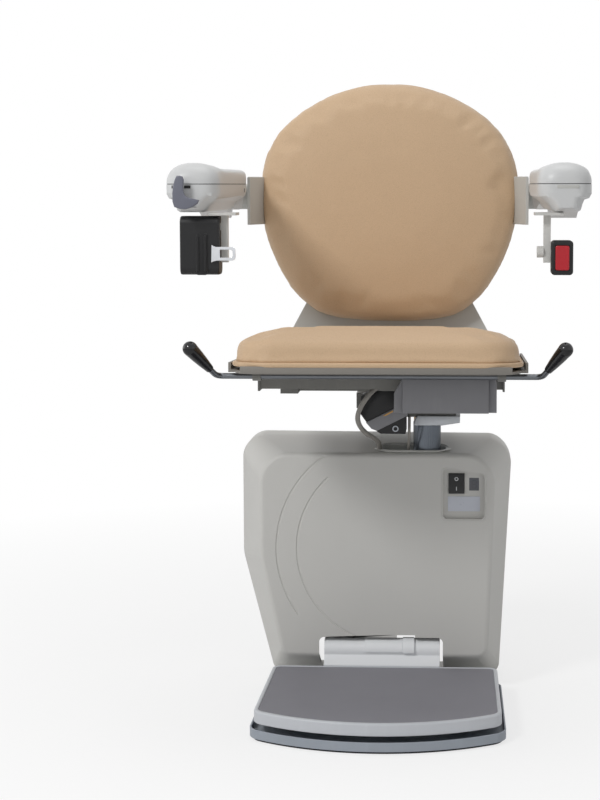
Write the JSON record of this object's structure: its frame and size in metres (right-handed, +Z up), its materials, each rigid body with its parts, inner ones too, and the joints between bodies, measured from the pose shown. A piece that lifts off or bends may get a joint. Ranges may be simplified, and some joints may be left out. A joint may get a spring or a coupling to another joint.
{
  "type": "stairlift chair",
  "caption": "Stairlift chair: rail carriage with drive, folding footplate, swivel seat, oval back, folding arms and lap belt.",
  "frame": {"origin": "centre of the guide pad's face, where the carriage rests on the rail", "axes": "+Y out of the chair's back into the rail, +X along the rail to the viewer's right, +Z up"},
  "size_m": [0.592, 0.5241, 0.9414],
  "materials": {
    "cover_plastic": "fine textured, satin",
    "steel_zinc": "zinc plated",
    "spring_rubber": "moulded rubber",
    "chassis_paint": "powder coat",
    "nylon": "nylon",
    "gear_steel": "hardened",
    "cast_aluminium": "cast",
    "motor_black": "satin black",
    "battery_case": "moulded",
    "board_green": "circuit board",
    "contact_copper": "spring contact",
    "column_steel": "plated tube",
    "bush_bronze": "sintered bronze",
    "trim_rubber": "soft grey",
    "panel_grey": "satin",
    "display_dark": "smoked window",
    "switch_black": "satin",
    "tray_white": "textured",
    "mat_grey": "fine ribs",
    "arm_steel": "powder coat",
    "pan_grey": "moulded",
    "rubber_black": "soft",
    "frame_dark": "powder coat",
    "box_light": "powder coat",
    "box_black": "textured",
    "loom_black": "braided sleeve",
    "shell_grey": "moulded",
    "vinyl_beige": "fine-grained upholstery vinyl",
    "board_beige": "edge moulding",
    "bar_steel": "grey",
    "grip_black": "glossy",
    "arm_plastic": "moulded satin",
    "bracket_grey": "powder coat",
    "reel_black": "moulded",
    "web_black": "woven webbing",
    "tongue_chrome": "polished",
    "button_red": "moulded"
  },
  "bodies": {
    "carriage": {"chassis_plate": "chassis_paint", "rail_guide_pad": "nylon", "roller_axles": "steel_zinc", "carriage_cover": "cover_plastic", "gearbox_housing": "cast_aluminium", "drive_motor": "motor_black", "battery_pack": "battery_case", "control_board": "board_green", "charge_contacts": "contact_copper", "column_socket": "chassis_paint", "swivel_column": "column_steel", "height_bolt": "steel_zinc", "swivel_bush": "bush_bronze", "column_trim": "trim_rubber", "switch_panel": "panel_grey", "status_display": "display_dark", "footplate_lugs": "chassis_paint", "footplate_pin": "steel_zinc"},
    "pinion": {"drive_pinion": "gear_steel"},
    "roller_1": {"rail_roller_1": "nylon"},
    "roller_2": {"rail_roller_2": "nylon"},
    "roller_3": {"rail_roller_3": "nylon"},
    "roller_4": {"rail_roller_4": "nylon"},
    "rocker": {"power_rocker": "switch_black"},
    "footplate": {"foot_tray": "tray_white", "foot_mat": "mat_grey", "hinge_panel": "tray_white", "hinge_arms": "arm_steel", "panel_covers": "tray_white", "pan_studs": "steel_zinc", "pan_springs": "spring_rubber"},
    "pan": {"safety_pan": "pan_grey", "pan_rubber": "rubber_black"},
    "swivel": {"swivel_casting": "cast_aluminium", "seat_frame": "frame_dark", "mechanism_cover": "box_light", "junction_box": "box_black", "loom_bracket": "box_light", "wiring_looms": "loom_black", "back_upright": "arm_steel", "back_shell": "shell_grey", "back_cushion": "vinyl_beige", "arm_hubs": "shell_grey"},
    "lever": {"lever_bar": "bar_steel", "lever_grips": "grip_black"},
    "seat": {"seat_pan": "shell_grey", "seat_board": "board_beige", "seat_cushion": "vinyl_beige"},
    "left_arm": {"left_arm_top": "arm_plastic", "left_arm_base": "arm_plastic", "left_belt_bracket": "bracket_grey", "belt_reel": "reel_black", "belt_web": "web_black", "belt_tongue": "tongue_chrome"},
    "toggle": {"toggle_paddle": "switch_black"},
    "right_arm": {"right_arm_top": "arm_plastic", "right_arm_base": "arm_plastic", "right_belt_bracket": "bracket_grey"},
    "buckle": {"buckle_body": "reel_black"},
    "button": {"buckle_button": "button_red"}
  },
  "joints": [
    {"name": "pinion_turn", "type": "hinge", "parent": "carriage", "child": "pinion", "pos_m": [0, 0, -0.072], "axis": [0, 1, 0], "continuous": true},
    {"name": "roller_1_turn", "type": "hinge", "parent": "carriage", "child": "roller_1", "pos_m": [-0.105, 0, 0.062], "axis": [0, 1, 0], "continuous": true},
    {"name": "roller_2_turn", "type": "hinge", "parent": "carriage", "child": "roller_2", "pos_m": [0.105, 0, 0.062], "axis": [0, 1, 0], "continuous": true},
    {"name": "roller_3_turn", "type": "hinge", "parent": "carriage", "child": "roller_3", "pos_m": [-0.105, 0, -0.062], "axis": [0, 1, 0], "continuous": true},
    {"name": "roller_4_turn", "type": "hinge", "parent": "carriage", "child": "roller_4", "pos_m": [0.105, 0, -0.062], "axis": [0, 1, 0], "continuous": true},
    {"name": "power_rocker_tilt", "type": "hinge", "parent": "carriage", "child": "rocker", "pos_m": [0.109, -0.155, 0.11975], "axis": [1, 0, 0], "range_deg": [-8, 8]},
    {"name": "footplate_fold", "type": "hinge", "parent": "carriage", "child": "footplate", "pos_m": [0, -0.15, -0.14], "axis": [-1, 0, 0], "range_deg": [0, 85]},
    {"name": "pan_lift", "type": "slide", "parent": "footplate", "child": "pan", "axis": [0, 0, 1], "range_m": [0, 0.006], "stiffness_N_per_m": 1500, "springref_m": -0.012, "deforming": ["pan_springs"]},
    {"name": "seat_swivel", "type": "hinge", "parent": "carriage", "child": "swivel", "pos_m": [0.0635, -0.13, 0.21], "axis": [0, 0, 1], "range_deg": [0, 90], "deforming": ["wiring_looms"]},
    {"name": "lever_pull", "type": "hinge", "parent": "swivel", "child": "lever", "pos_m": [0, -0.35, 0.304], "axis": [1, 0, 0], "range_deg": [0, 20], "stiffness_Nm_per_rad": 1.5, "springref_deg": -28.65},
    {"name": "seat_fold", "type": "hinge", "parent": "swivel", "child": "seat", "pos_m": [0, -0.092, 0.2905], "axis": [-1, 0, 0], "range_deg": [0, 75]},
    {"name": "left_arm_fold", "type": "hinge", "parent": "swivel", "child": "left_arm", "pos_m": [-0.258, -0.025, 0.556], "axis": [-1, 0, 0], "range_deg": [0, 90]},
    {"name": "right_arm_fold", "type": "hinge", "parent": "swivel", "child": "right_arm", "pos_m": [0.258, -0.025, 0.556], "axis": [-1, 0, 0], "range_deg": [0, 90]},
    {"name": "toggle_turn", "type": "hinge", "parent": "left_arm", "child": "toggle", "pos_m": [-0.283, -0.4, 0.564], "axis": [0, 1, 0], "range_deg": [-10, 10], "stiffness_Nm_per_rad": 0.05},
    {"name": "buckle_swing", "type": "hinge", "parent": "right_arm", "child": "buckle", "pos_m": [0.245, -0.365, 0.481], "axis": [1, 0, 0], "range_deg": [-30, 30]},
    {"name": "buckle_press", "type": "slide", "parent": "buckle", "child": "button", "axis": [0, 1, 0], "range_m": [0, 0.004], "stiffness_N_per_m": 400, "springref_m": -0.002}
  ],
  "couplings": [
    {"joint": "roller_1_turn", "follows": "pinion_turn", "ratio": -1.2},
    {"joint": "roller_2_turn", "follows": "pinion_turn", "ratio": -1.2},
    {"joint": "roller_3_turn", "follows": "pinion_turn", "ratio": 1.2},
    {"joint": "roller_4_turn", "follows": "pinion_turn", "ratio": 1.2}
  ]
}
